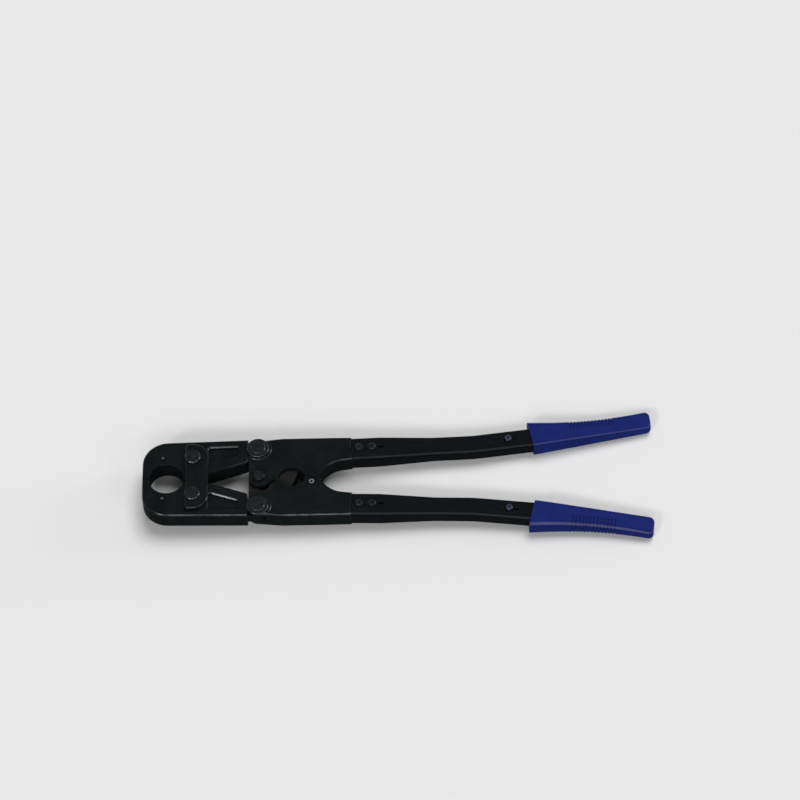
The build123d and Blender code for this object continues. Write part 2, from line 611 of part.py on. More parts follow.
# Grip, its core and its screw
def grip_section(along, inset):
    """The grip's outline square to the handle, at a distance from its front."""
    front_flare = max(0, 1 - along / GRIP_WAIST_S) ** 2
    rear_flare = max(0, (along - GRIP_WAIST_S) / (GRIP_L - GRIP_WAIST_S)) ** 2
    thinned = max(0, (along - GRIP_SEAT_L) / (GRIP_L - GRIP_SEAT_L))
    outer = GRIP_WAIST_OUT + (GRIP_FRONT_OUT - GRIP_WAIST_OUT) * front_flare - inset
    outer += (GRIP_REAR_OUT - GRIP_WAIST_OUT) * rear_flare
    inner = GRIP_FRONT_IN + (GRIP_REAR_IN - GRIP_FRONT_IN) * along / GRIP_L - inset
    thickness = GRIP_FRONT_T + (GRIP_REAR_T - GRIP_FRONT_T) * thinned
    end = max(0, along - GRIP_L + GRIP_END_R)
    drawn_in = GRIP_END_R - sqrt(GRIP_END_R ** 2 - end ** 2)
    outer -= drawn_in
    inner -= drawn_in
    thickness -= GRIP_END_THIN * drawn_in
    face = Rectangle(outer + inner, thickness - 2 * inset)
    face = fillet(face.vertices().group_by(Axis.X)[-1], thickness * GRIP_OUTER_ROUND - inset)
    face = fillet(face.vertices().group_by(Axis.X)[0], GRIP_INNER_R - inset)
    return across_plane(*beside_grip(GRIP_S + along, (outer - inner) / 2), SECOND_TILT) * face


def core_bar(width, thickness, corner_r, start, end):
    plane = across_plane(*beside_grip(start, 0), SECOND_TILT)
    return extrude(plane * RectangleRounded(width, thickness, corner_r), end - start)


def make_grip_core():
    end = GRIP_S + GRIP_L - CORE_END
    core = core_bar(CORE_W, CORE_T, CORE_CORNER_R, CORE_S, end)
    core -= core_bar(CORE_W - 2 * CORE_WALL, CORE_T - 2 * CORE_WALL, CORE_CORNER_R - CORE_WALL, CORE_S, end)
    screw = beside_grip(GRIP_SCREW_S, 0)
    core -= rod(screw[0], screw[1], GRIP_SCREW_R + RUN_CLEAR, 0, TUBE_T)
    peg = beside_grip(PEG_HOLE_S, 0)
    return core - rod(peg[0], peg[1], PEG_HOLE_R, 0, TUBE_T)


def make_grip():
    body_end = GRIP_L - GRIP_END_R
    step = (body_end + GRIP_SPARE) / (GRIP_STATIONS - 1)
    grip = loft([grip_section(number * step - GRIP_SPARE, 0) for number in range(GRIP_STATIONS)])
    grip += loft([grip_section(body_end + GRIP_END_R * sin(radians(turn)), 0) for turn in GRIP_END_TURNS])
    ahead = Box(FAR, FAR, FAR, align=(Align.MAX, Align.CENTER, Align.CENTER))
    grip -= Pos(*beside_grip(GRIP_S, 0), 0) * Rot(0, 0, SECOND_TILT + GRIP_SLANT) * ahead
    grip = fillet(grip.faces().sort_by(Axis.X)[0].edges(), GRIP_LIP_R)
    outer_half = Pos(*beside_grip(GRIP_S, RIB_FROM), 0) * Rot(0, 0, SECOND_TILT) * Box(
        FAR, FAR, FAR, align=(Align.CENTER, Align.MIN, Align.CENTER))
    for number in range(RIB_COUNT):
        along = RIB_S + number * RIB_PITCH
        ring = extrude(grip_section(along, -OVERCUT), RIB_W) - extrude(grip_section(along, RIB_DEPTH), RIB_W)
        grip -= ring & outer_half
    start = GRIP_S - GRIP_SPARE
    end = GRIP_S + GRIP_L - CORE_END
    play = 2 * GRIP_FIT
    grip -= core_bar(CORE_W + play, CORE_T + play, CORE_CORNER_R + GRIP_FIT, start, end)
    seat_end = TUBE_TAIL + GRIP_FIT
    return grip - core_bar(TUBE_W + play, TUBE_T + play, TUBE_CORNER_R + GRIP_FIT, start, seat_end)


def make_grip_screw():
    x, y = beside_grip(GRIP_SCREW_S, 0)
    top = TUBE_T / 2 + GRIP_SCREW_HEAD_H
    head = rod(x, y, GRIP_SCREW_HEAD_R, TUBE_T / 2, top)
    head = fillet(head.faces().sort_by(Axis.Z)[-1].edges(), GRIP_SCREW_ROUND)
    for turn in (CROSS_TURN, CROSS_TURN + 90):
        bar = Pos(x, y, top - CROSS_H) * Rot(0, 0, turn) * Box(
            CROSS_L, CROSS_W, 2 * CROSS_H, align=(Align.CENTER, Align.CENTER, Align.MIN))
        head -= bar
    return head + rod(x, y, GRIP_SCREW_R, CORE_T / 2 - CORE_WALL - FIT_CLEAR, TUBE_T / 2)


# The assembly
front_strap = make_front_strap()
jaw_bolt = make_jaw_bolt()
jaw_nut = make_nut(PIVOT_X, PIVOT_Y, JAW_NUT_AF, JAW_BOLT_R, -STRAP_TOP - JAW_NUT_H, -STRAP_TOP)
pieces = {
    "front_strap": front_strap,
    "rear_strap": mirror(front_strap, about=Plane.XY),
    "jaw_bolt_nuts": Compound([jaw_nut, lower(jaw_nut)]),
    "upper_lever": make_upper_lever(),
    "lower_lever": make_lower_lever(),
    "centre_bolt": make_centre_bolt(),
    "centre_nut": make_nut(CENTRE_X, 0, CENTRE_NUT_AF, CENTRE_BOLT_R, -HALF_T - CENTRE_NUT_H, -HALF_T),
    "stop_screw": make_stop_screw(),
}
mirrored_pieces = {
    "jaw": make_jaw(),
    "jaw_bolt": jaw_bolt,
    "lock_button": make_lock_button(),
    "lock_spring": make_lock_spring(),
    "lock_plug": make_lock_plug(),
    "tail_pin": make_tail_pin(),
    "tail_washer": make_tail_washer(),
    "tail_clip": make_tail_clip(),
    "handle_tube": make_handle_tube(),
    "handle_bolts": make_handle_bolts(),
    "handle_nuts": make_handle_nuts(),
    "grip_core": make_grip_core(),
    "grip": make_grip(),
    "grip_screw": make_grip_screw(),
}
for name, piece in mirrored_pieces.items():
    pieces["upper_" + name] = piece
    pieces["lower_" + name] = lower(piece)

os.makedirs("parts", exist_ok=True)
for name, piece in pieces.items():
    export_step(piece, "parts/" + name + ".step")
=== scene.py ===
import math

import bpy
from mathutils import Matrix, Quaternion, Vector


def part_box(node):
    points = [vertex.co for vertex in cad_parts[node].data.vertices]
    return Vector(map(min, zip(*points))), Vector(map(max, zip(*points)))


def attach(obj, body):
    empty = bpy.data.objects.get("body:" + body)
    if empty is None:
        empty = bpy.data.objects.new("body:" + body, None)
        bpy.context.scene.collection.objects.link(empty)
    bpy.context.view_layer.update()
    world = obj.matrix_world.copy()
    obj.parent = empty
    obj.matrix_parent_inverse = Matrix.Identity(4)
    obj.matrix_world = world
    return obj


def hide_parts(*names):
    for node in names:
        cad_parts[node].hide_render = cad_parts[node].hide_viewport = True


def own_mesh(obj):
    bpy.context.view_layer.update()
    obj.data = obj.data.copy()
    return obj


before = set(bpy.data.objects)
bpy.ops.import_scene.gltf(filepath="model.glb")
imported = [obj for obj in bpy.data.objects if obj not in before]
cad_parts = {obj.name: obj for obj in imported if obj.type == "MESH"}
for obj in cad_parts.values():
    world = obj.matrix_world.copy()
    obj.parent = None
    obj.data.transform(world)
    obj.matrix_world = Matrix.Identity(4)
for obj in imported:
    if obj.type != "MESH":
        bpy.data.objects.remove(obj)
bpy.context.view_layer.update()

# Jaws: two drop-forged steel halves with machined faces, blackened all over.
# Each has half of the round die seat, a sunk panel in its tail and a tongue for the tail pin.
# Handling has rubbed the black thin along the edges.
JAW_BLACK = (0.0048, 0.0064, 0.0070, 1)
JAW_SHEEN = (0.0080, 0.0100, 0.0108, 1)
RUBBED_STEEL = (0.050, 0.053, 0.056, 1)
FORGED_ROUGHNESS = 0.42
FACE_GLOSS = 0.006
BEVEL_GLOSS = 0.32
JAW_DENT_DEPTH = 0.04            # millimetres
INNER_EDGES = (0.0125, 0.017)    # bevels nearer the middle line than this stay black
MM_PER_M = 1000
RAYS = 6                         # samples that round an edge or shade a corner


def new_finish(name, base, roughness, metallic=0.0, gloss=0.3):
    """A material with its plain values set on the shader itself, and the tree to add detail to."""
    finish = bpy.data.materials.new(name)
    finish.use_nodes = True
    tree = finish.node_tree
    shader = tree.nodes["Principled BSDF"]
    shader.inputs["Base Color"].default_value = base
    shader.inputs["Roughness"].default_value = roughness
    shader.inputs["Metallic"].default_value = metallic
    shader.inputs["Specular IOR Level"].default_value = gloss
    return finish, tree, shader


def place_of(tree, centre=(0, 0, 0), stretch=(1, 1, 1), turn=0):
    """Object coordinates in metres, measured from a centre, turned about Z and stretched."""
    texture = tree.nodes.new("ShaderNodeTexCoord")
    mapping = tree.nodes.new("ShaderNodeMapping")
    mapping.vector_type = "TEXTURE"
    mapping.inputs["Location"].default_value = centre
    mapping.inputs["Rotation"].default_value = (0, 0, math.radians(turn))
    mapping.inputs["Scale"].default_value = stretch
    tree.links.new(texture.outputs["Object"], mapping.inputs["Vector"])
    return mapping.outputs["Vector"]


def mottle(tree, place, grain_mm, detail=3.0, rough=0.55):
    """Soft random patches of about that size."""
    noise = tree.nodes.new("ShaderNodeTexNoise")
    noise.inputs["Scale"].default_value = MM_PER_M / grain_mm
    noise.inputs["Detail"].default_value = detail
    noise.inputs["Roughness"].default_value = rough
    tree.links.new(place, noise.inputs["Vector"])
    return noise.outputs["Fac"]


def spread(tree, value, low, high, to_low=0.0, to_high=1.0):
    """Brings the part of a value between two levels to two others, smoothly."""
    span = tree.nodes.new("ShaderNodeMapRange")
    span.interpolation_type = "SMOOTHSTEP"
    tree.links.new(value, span.inputs["Value"])
    for name, level in (("From Min", low), ("From Max", high), ("To Min", to_low), ("To Max", to_high)):
        span.inputs[name].default_value = level
    return span.outputs["Result"]


def join(tree, operation, first, second):
    """Two values brought together by an operation; the second may be a plain number."""
    node = tree.nodes.new("ShaderNodeMath")
    node.operation = operation
    tree.links.new(first, node.inputs[0])
    if isinstance(second, (int, float)):
        node.inputs[1].default_value = second
    else:
        tree.links.new(second, node.inputs[1])
    return node.outputs[0]


def between(tree, share, first, second):
    """A colour between two, each a plain colour or the output of a node."""
    blend = tree.nodes.new("ShaderNodeMix")
    blend.data_type = "RGBA"
    tree.links.new(share, blend.inputs["Factor"])
    for socket, colour in ((blend.inputs[6], first), (blend.inputs[7], second)):
        if isinstance(colour, tuple):
            socket.default_value = colour
        else:
            tree.links.new(colour, socket)
    return blend.outputs[2]


def broken_edge(tree, width_mm):
    """The normal of a surface whose sharp edges are rounded off by that much."""
    rounding = tree.nodes.new("ShaderNodeBevel")
    rounding.samples = RAYS
    rounding.inputs["Radius"].default_value = width_mm / MM_PER_M
    return rounding.outputs["Normal"]


def relief(tree, shader, edge_mm, heights):
    """Rounds the edges, then stacks bumps, each a height and its depth in millimetres, into the normal."""
    normal = broken_edge(tree, edge_mm)
    for height, depth_mm in heights:
        bump = tree.nodes.new("ShaderNodeBump")
        bump.inputs["Distance"].default_value = depth_mm / MM_PER_M
        tree.links.new(height, bump.inputs["Height"])
        tree.links.new(normal, bump.inputs["Normal"])
        normal = bump.outputs["Normal"]
    tree.links.new(normal, shader.inputs["Normal"])


def openness(tree, reach_mm):
    """1 on open faces, falling towards 0 in corners and grooves of that size."""
    sky = tree.nodes.new("ShaderNodeAmbientOcclusion")
    sky.samples = RAYS
    sky.only_local = True
    sky.inputs["Distance"].default_value = reach_mm / MM_PER_M
    return sky.outputs["AO"]


EDGE_TURN = (0.999, 0.93)        # cosines of the normal's turn where an edge begins, and at its middle
OPEN_EDGE = (0.7, 0.95)          # openness of inner corners, and of outer edges


def outer_edges(tree, width_mm):
    """1 along outer edges and 0 on open faces; inner corners are left out."""
    face = tree.nodes.new("ShaderNodeNewGeometry")
    agree = tree.nodes.new("ShaderNodeVectorMath")
    agree.operation = "DOT_PRODUCT"
    tree.links.new(broken_edge(tree, width_mm), agree.inputs[0])
    tree.links.new(face.outputs["Normal"], agree.inputs[1])
    edge = spread(tree, agree.outputs["Value"], *EDGE_TURN)
    return join(tree, "MULTIPLY", edge, spread(tree, openness(tree, 2 * width_mm), *OPEN_EDGE))


def levelness(tree):
    """1 on faces that lie flat, a half on bevels cut at 45 degrees, and 0 on walls."""
    face = tree.nodes.new("ShaderNodeNewGeometry")
    parts = tree.nodes.new("ShaderNodeSeparateXYZ")
    tree.links.new(face.outputs["True Normal"], parts.inputs["Vector"])
    return join(tree, "MULTIPLY", parts.outputs["Z"], parts.outputs["Z"])


WALL_TO_BEVEL = (0.22, 0.38)     # levelness
FACE_TO_BEVEL = (0.82, 0.66)


def machined_bevels(tree):
    """1 on bevels and roundings at about 45 degrees, and 0 on the flat faces and on the walls."""
    level = levelness(tree)
    return join(tree, "MULTIPLY", spread(tree, level, *WALL_TO_BEVEL), spread(tree, level, *FACE_TO_BEVEL))


SCRATCH_FADE = 0.08


def hairlines(tree, turn, length, grain_mm=0.35, share=0.70):
    """Fine scratches in one direction, as a value that is 1 only on the scratches."""
    along = place_of(tree, stretch=(length, 1, 1), turn=turn)
    return spread(tree, mottle(tree, along, grain_mm, detail=2, rough=0.4), share, share + SCRATCH_FADE)


def away_from(tree, axis, near, far):
    """0 within a distance of the middle plane across an axis, and 1 beyond another."""
    parts = tree.nodes.new("ShaderNodeSeparateXYZ")
    tree.links.new(place_of(tree), parts.inputs["Vector"])
    return spread(tree, join(tree, "ABSOLUTE", parts.outputs[axis], 0), near, far)


CLOUD_MM = 26                    # how wide the patches in the black finish are
POLISH_MM = 9
DENT_MM = 7
WEAR_MM = 6
GRAIN_MM = 1.1
GRAIN_DEPTH = 0.012              # millimetres, as the next two
ROUNDED_EDGE = 0.45
RUBBED_EDGE = 0.7
SCRATCHES = ((24, 60), (-57, 45))    # direction of each set in degrees, and how drawn out it is
SOFT = (0.3, 0.7)                # levels between which soft patches go from none to full
CLOUD_LEVELS = (0.25, 0.75)
GRAIN_LEVELS = (0.5, 0.8)
WEAR_LEVELS = (0.36, 0.72)
SUNK_LEVELS = (0.85, 0.95)
POLISH_LEVELS = (0.25, 0.6, 0.55, 1.0)    # the patches' levels, and the polish that they give
SCRATCH_TONE = 0.8               # how much scratches and grain lighten the black
GRAIN_TONE = 0.5
BARE_METAL = 0.5                 # how far a rubbed place looks like metal
CLOUD_SHINE = 0.06               # how much clouds, scratches and polish change the roughness
SCRATCH_SHINE = 0.08
POLISH_SHINE = 0.16
LIT_FADE = 0.001


def blackened_steel(name, dark, light, roughness, dent_depth, bevel_gloss=BEVEL_GLOSS, painted_light=None):
    """Forged steel with a black finish: cloudy, finely grained, scratched and worn thin along its edges.

    Its last argument gives a lighter colour for flat faces that lie within a distance of the middle plane:
    painted light, as if light fell on them.
    """
    finish, tree, shader = new_finish(name, dark, roughness, gloss=FACE_GLOSS)
    place = place_of(tree)
    clouds = mottle(tree, place, CLOUD_MM, detail=5)
    grain = mottle(tree, place, GRAIN_MM, detail=2)
    marks = join(tree, "MAXIMUM", *(hairlines(tree, turn, length) for turn, length in SCRATCHES))
    tone = join(tree, "ADD", spread(tree, clouds, *SOFT), join(tree, "MULTIPLY", marks, SCRATCH_TONE))
    specks = join(tree, "MULTIPLY", spread(tree, grain, *GRAIN_LEVELS), GRAIN_TONE)
    colour = between(tree, join(tree, "ADD", tone, specks), dark, light)
    worn = spread(tree, mottle(tree, place, WEAR_MM, detail=4), *WEAR_LEVELS)
    wear = join(tree, "MULTIPLY", outer_edges(tree, RUBBED_EDGE), worn)
    # Painted light: flat faces near the middle plane, the tongue's, get a lighter colour as if lit.
    if painted_light:
        lit_colour, half = painted_light
        sunk = join(tree, "SUBTRACT", levelness(tree), away_from(tree, "Z", half, half + LIT_FADE))
        colour = between(tree, spread(tree, sunk, *SUNK_LEVELS), colour, lit_colour)
    tree.links.new(between(tree, wear, colour, RUBBED_STEEL), shader.inputs["Base Color"])
    tree.links.new(join(tree, "MULTIPLY", wear, BARE_METAL), shader.inputs["Metallic"])
    smooth = spread(tree, mottle(tree, place, POLISH_MM, detail=4), *POLISH_LEVELS)
    polish = join(tree, "MULTIPLY", machined_bevels(tree), smooth)
    polish = join(tree, "MULTIPLY", polish, away_from(tree, "Y", *INNER_EDGES))
    tree.links.new(spread(tree, polish, 0, 1, FACE_GLOSS, bevel_gloss), shader.inputs["Specular IOR Level"])
    shine = spread(tree, clouds, *CLOUD_LEVELS, roughness + CLOUD_SHINE, roughness - CLOUD_SHINE)
    shine = join(tree, "SUBTRACT", shine, join(tree, "MULTIPLY", marks, SCRATCH_SHINE))
    shine = join(tree, "SUBTRACT", shine, join(tree, "MULTIPLY", polish, POLISH_SHINE))
    tree.links.new(shine, shader.inputs["Roughness"])
    relief(tree, shader, ROUNDED_EDGE, [(mottle(tree, place, DENT_MM), dent_depth), (grain, GRAIN_DEPTH)])
    return finish


def dress(finish, *names):
    """Gives CAD nodes a finish in place of the one they came with."""
    for name in names:
        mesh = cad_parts[name].data
        mesh.materials.clear()
        mesh.materials.append(finish)


finish = blackened_steel("blackened_jaw", JAW_BLACK, JAW_SHEEN, FORGED_ROUGHNESS, JAW_DENT_DEPTH)
dress(finish, "upper_jaw", "lower_jaw")


# Die locks: a bright turned button in each jaw, pushed out by a coil spring that sits on a screwed plug.
# Pressing it with a finger frees the die half beside it.
BUTTON_STEEL = (0.045, 0.047, 0.050, 1)
SPRING_STEEL = (0.26, 0.265, 0.275, 1)
PLUG_STEEL = (0.02, 0.021, 0.023, 1)
# A near-black colour painted into the corners and grooves of turned parts, as painted shade.
PAINTED_CORNER_SHADE = (0.008, 0.008, 0.009, 1)
BUTTON_ROUGHNESS = 0.25
SPRING_ROUGHNESS = 0.32
PLUG_ROUGHNESS = 0.4
PLUG_SHINE = (0.34, 0.5)         # roughness of its brightest and dullest patches
PLUG_PATCH_MM = 2
PLUG_PATCH_DEPTH = 0.02          # millimetres
SPRING_WIRE = 0.0004
SPRING_TURNS = 5.5
SPRING_STEPS = 24                # points along each turn
RING_STRETCH = (1, 1, 1000)      # keeps turned rings the same along their axis


def lathe_rings(tree, centre, scale, distortion):
    """The fine rings that a lathe tool leaves about a centre."""
    rings = tree.nodes.new("ShaderNodeTexWave")
    rings.wave_type = "RINGS"
    rings.rings_direction = "Z"
    rings.inputs["Scale"].default_value = scale
    rings.inputs["Distortion"].default_value = distortion
    rings.inputs["Detail"].default_value = 2
    tree.links.new(place_of(tree, centre, RING_STRETCH), rings.inputs["Vector"])
    return rings.outputs["Fac"]


TURNED_RING_MM = 0.35
WAVE_RATE = 20                   # turn of the wave in radians, for each metre at a scale of 1
TURNED_DISTORTION = 1.5
TURNED_EDGE = 0.2                # millimetres, as the next four
DULL_PATCH_MM = 4
TURNED_GRAIN_MM = 0.8
TURNED_RING_DEPTH = 0.008
TURNED_GRAIN_DEPTH = 0.006
DULL_SHARE = 0.55                # brightness of the dull patches
DULL_LEVELS = (0.4, 0.75)
CORNER_SHADE_REACH_MM = 1.2
CORNER_SHADE_LEVELS = (0.85, 0.55)      # openness where the painted corner shade begins, and where it is full
RING_SHINE = 0.15


def turned_steel(name, base, roughness, centre):
    """Bare steel turned about a centre: fine rings, with patches where they catch the light less, and
    painted shade darkening its corners and grooves.
    """
    finish, tree, shader = new_finish(name, base, roughness, metallic=1.0)
    rings = lathe_rings(tree, centre, MM_PER_M / TURNED_RING_MM / WAVE_RATE, TURNED_DISTORTION)
    place = place_of(tree, centre)
    dull = tuple(DULL_SHARE * part for part in base[:3]) + (1,)
    worn = between(tree, spread(tree, mottle(tree, place, DULL_PATCH_MM), *DULL_LEVELS), base, dull)
    # Painted shade: the colour darkens towards near-black where ambient occlusion finds corners and
    # grooves.
    painted_shade = spread(tree, openness(tree, CORNER_SHADE_REACH_MM), *CORNER_SHADE_LEVELS)
    tree.links.new(between(tree, painted_shade, worn, PAINTED_CORNER_SHADE), shader.inputs["Base Color"])
    shine = spread(tree, rings, 0, 1, roughness, roughness + RING_SHINE)
    tree.links.new(shine, shader.inputs["Roughness"])
    grain = mottle(tree, place, TURNED_GRAIN_MM, detail=2)
    relief(tree, shader, TURNED_EDGE, [(rings, TURNED_RING_DEPTH), (grain, TURNED_GRAIN_DEPTH)])
    return finish


def middle_of(node):
    low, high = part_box(node)
    return (low + high) / 2


def coil(name, low, high, wire_r, turns):
    """A compression spring of round wire between two corners of its space, with its end turns closed."""
    centre = (low + high) / 2
    coil_r = (high.x - low.x) / 2 - wire_r
    count = int(turns * SPRING_STEPS) + 1
    path = bpy.data.curves.new(name + "_path", "CURVE")
    path.dimensions = "3D"
    path.bevel_depth = wire_r
    path.bevel_resolution = 3
    path.use_fill_caps = True
    line = path.splines.new("POLY")
    line.points.add(count - 1)
    for number in range(count):
        share = number / (count - 1)
        angle = 2 * math.pi * turns * share
        rise = min(max((share * turns - 1) / (turns - 2), 0), 1)
        x = centre.x + coil_r * math.cos(angle)
        y = centre.y + coil_r * math.sin(angle)
        z = low.z + wire_r + rise * (high.z - low.z - 2 * wire_r)
        line.points[number].co = (x, y, z, 1)
    drawn = bpy.data.objects.new(name + "_drawn", path)
    bpy.context.scene.collection.objects.link(drawn)
    wire = bpy.data.objects.new(name, bpy.data.meshes.new_from_object(drawn))
    bpy.data.objects.remove(drawn)
    bpy.context.scene.collection.objects.link(wire)
    for face in wire.data.polygons:
        face.use_smooth = True
    return wire


for side in ("upper", "lower"):
    button, spring = side + "_lock_button", side + "_lock_spring"
    centre = middle_of(button)
    dress(turned_steel(side + "_button_bright", BUTTON_STEEL, BUTTON_ROUGHNESS, centre), button)
    plug, tree, shader = new_finish(side + "_plug_black", PLUG_STEEL, PLUG_ROUGHNESS)
    clouds = mottle(tree, place_of(tree), PLUG_PATCH_MM)
    tree.links.new(spread(tree, clouds, *SOFT, *PLUG_SHINE), shader.inputs["Roughness"])
    relief(tree, shader, TURNED_EDGE, [(clouds, PLUG_PATCH_DEPTH)])
    dress(plug, side + "_lock_plug")
    low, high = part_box(spring)
    wire = coil(side + "_lock_coil", low, high, SPRING_WIRE, SPRING_TURNS)
    wire.data.materials.append(turned_steel(side + "_spring_wire", SPRING_STEEL, SPRING_ROUGHNESS, centre))
    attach(wire, side + "_jaw")
    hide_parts(spring)
    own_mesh(wire)


# Straps: two cold-rolled plates, front and rear, that carry both jaws between them.
# They are blackened like the jaws, but smoother, with bevelled edges.
STRAP_BLACK = (0.0052, 0.0066, 0.0068, 1)
STRAP_SHEEN = (0.0082, 0.0100, 0.0102, 1)
STRAP_ROUGHNESS = 0.40
STRAP_DENT_DEPTH = 0.015         # millimetres
STRAP_BEVEL_GLOSS = 0.20

finish = blackened_steel("blackened_strap", STRAP_BLACK, STRAP_SHEEN, STRAP_ROUGHNESS, STRAP_DENT_DEPTH,
                         STRAP_BEVEL_GLOSS)
dress(finish, "front_strap", "rear_strap")


# Jaw bolts: heavy pivot bolts with round turned heads in front and hexagon nuts behind.
# They are black-oxided, with the bevel of the head rubbed to bare metal.
BOLT_BLACK = (0.0088, 0.0108, 0.0118, 1)
BOLT_SHEEN = (0.0150, 0.0175, 0.0190, 1)
BOLT_BARE = (0.12, 0.124, 0.13, 1)
BOLT_ROUGHNESS = 0.36
HEAD_GLOSS = 0.025
HEAD_RINGS = 150                 # scale and distortion of the turned rings
HEAD_DISTORTION = 2
HEAD_EDGE = 0.35                 # millimetres, as the next six
HEAD_RUBBED_EDGE = 0.6
HEAD_PATCH_MM = 6
HEAD_WEAR_MM = 4
HEAD_GRAIN_MM = 0.9
HEAD_RING_DEPTH = 0.010
HEAD_GRAIN_DEPTH = 0.010
HEAD_LEVELS = (0.35, 0.7)
HEAD_RING_SHINE = (-0.06, 0.08)  # how much rings and polish change the roughness
HEAD_POLISH_SHINE = 0.10


def oxided_bolt(name, centre):
    """A turned, black-oxided head with worn edges."""
    finish, tree, shader = new_finish(name, BOLT_BLACK, BOLT_ROUGHNESS, gloss=HEAD_GLOSS)
    rings = lathe_rings(tree, centre, HEAD_RINGS, HEAD_DISTORTION)
    place = place_of(tree)
    worn = spread(tree, mottle(tree, place, HEAD_WEAR_MM, detail=4), *HEAD_LEVELS)
    wear = join(tree, "MULTIPLY", outer_edges(tree, HEAD_RUBBED_EDGE), worn)
    patches = spread(tree, mottle(tree, place, HEAD_PATCH_MM, detail=4), *HEAD_LEVELS)
    tone = between(tree, patches, BOLT_BLACK, BOLT_SHEEN)
    tree.links.new(between(tree, wear, tone, BOLT_BARE), shader.inputs["Base Color"])
    tree.links.new(join(tree, "MULTIPLY", wear, BARE_METAL), shader.inputs["Metallic"])
    polish = machined_bevels(tree)
    tree.links.new(spread(tree, polish, 0, 1, HEAD_GLOSS, BEVEL_GLOSS), shader.inputs["Specular IOR Level"])
    shine = spread(tree, rings, 0, 1, *(BOLT_ROUGHNESS + change for change in HEAD_RING_SHINE))
    shine = join(tree, "SUBTRACT", shine, join(tree, "MULTIPLY", polish, HEAD_POLISH_SHINE))
    tree.links.new(shine, shader.inputs["Roughness"])
    grain = mottle(tree, place, HEAD_GRAIN_MM, detail=2)
    relief(tree, shader, HEAD_EDGE, [(rings, HEAD_RING_DEPTH), (grain, HEAD_GRAIN_DEPTH)])
    return finish


for side in ("upper_", "lower_"):
    dress(oxided_bolt(side + "jaw_bolt_black", middle_of(side + "jaw_bolt")), side + "jaw_bolt")
dress(oxided_bolt("jaw_nut_black", middle_of("jaw_bolt_nuts")), "jaw_bolt_nuts")


# Levers: forged and blackened like the jaws, forked over the jaw tongues.
# The upper one is forked again over the lower one's tongue at the centre bolt.
LEVER_BLACK = (0.0054, 0.0072, 0.0078, 1)
LEVER_SHEEN = (0.0090, 0.0114, 0.0120, 1)
LEVER_DENT_DEPTH = 0.05          # millimetres
# A lighter tone painted on the tongue's flat faces, as painted light.
TONGUE_PAINTED_LIGHT = (0.0150, 0.0155, 0.0150, 1)
TONGUE_HALF = 0.006              # half thickness of the tongue, whose flat faces are painted lighter as painted light

finish = blackened_steel("blackened_lever", LEVER_BLACK, LEVER_SHEEN, FORGED_ROUGHNESS, LEVER_DENT_DEPTH,
                         painted_light=(TONGUE_PAINTED_LIGHT, TONGUE_HALF))
dress(finish, "upper_lever", "lower_lever")


# Tail pins: turned pins with a washer under the head, held behind by a spring clip.
# Pins and washers are black-oxided, and the clip is plain spring steel.
CLIP_STEEL = (0.2, 0.205, 0.215, 1)
CLIP_ROUGHNESS = 0.38

for side in ("upper_", "lower_"):
    centre = middle_of(side + "tail_pin")
    dress(oxided_bolt(side + "tail_pin_black", centre), side + "tail_pin", side + "tail_washer")
    dress(turned_steel(side + "clip_spring_steel", CLIP_STEEL, CLIP_ROUGHNESS, centre), side + "tail_clip")


# Centre bolt: the pivot of the two levers, black-oxided, with a round-edged head and a nut behind.
# It turns with the upper lever.
dress(oxided_bolt("centre_bolt_black", middle_of("centre_bolt")), "centre_bolt")
dress(oxided_bolt("centre_nut_black", middle_of("centre_nut")), "centre_nut")


# Stop screw: a bright socket screw in the lower lever, where the closed levers meet.
# It is turned steel, screwed in from the front until it is almost flush.
STOP_STEEL = (0.085, 0.088, 0.092, 1)
STOP_ROUGHNESS = 0.28

dress(turned_steel("stop_screw_bright", STOP_STEEL, STOP_ROUGHNESS, middle_of("stop_screw")), "stop_screw")


# Handle tubes: flat-sided drawn steel tube, swelled at the front round the lever's shank and bent once.
# It is powder-coated satin black. The coat has a fine orange peel and a few dull rub marks along the tube.
TUBE_BLACK = (0.0056, 0.0072, 0.0084, 1)
TUBE_RUBBED = (0.0092, 0.0114, 0.0128, 1)
TUBE_ROUGHNESS = 0.45
TUBE_BEVEL_GLOSS = 0.20
TUBE_SHINE = (0.40, 0.52)        # roughness of its brightest and dullest patches
TUBE_PATCH_MM = 9
TUBE_EDGE = 0.5                  # millimetres
RUB_LENGTH = 6                   # how many times longer than wide the rub marks are
RUB_MM = 3
RUB_LEVELS = (0.50, 0.72)
TUBE_SCRATCH = (4, 80, 0.4, 0.72)    # direction in degrees, length, width in millimetres, and level
PEEL_MM = 1.3
PEEL_DEPTH = 0.025               # millimetres, as the next two
DRAWN_MM = 0.5
DRAWN_DEPTH = 0.005


def powder_coat(name):
    finish, tree, shader = new_finish(name, TUBE_BLACK, TUBE_ROUGHNESS, gloss=FACE_GLOSS)
    place = place_of(tree)
    along = place_of(tree, stretch=(RUB_LENGTH, 1, 1))
    rubs = spread(tree, mottle(tree, along, RUB_MM, detail=5, rough=0.65), *RUB_LEVELS)
    marks = join(tree, "MAXIMUM", rubs, hairlines(tree, *TUBE_SCRATCH))
    tree.links.new(between(tree, marks, TUBE_BLACK, TUBE_RUBBED), shader.inputs["Base Color"])
    gloss = spread(tree, machined_bevels(tree), 0, 1, FACE_GLOSS, TUBE_BEVEL_GLOSS)
    tree.links.new(gloss, shader.inputs["Specular IOR Level"])
    shine = spread(tree, mottle(tree, place, TUBE_PATCH_MM), *SOFT, *TUBE_SHINE)
    tree.links.new(shine, shader.inputs["Roughness"])
    peel = mottle(tree, place, PEEL_MM, detail=1)
    drawn = mottle(tree, along, DRAWN_MM, detail=2)
    relief(tree, shader, TUBE_EDGE, [(peel, PEEL_DEPTH), (drawn, DRAWN_DEPTH)])
    return finish


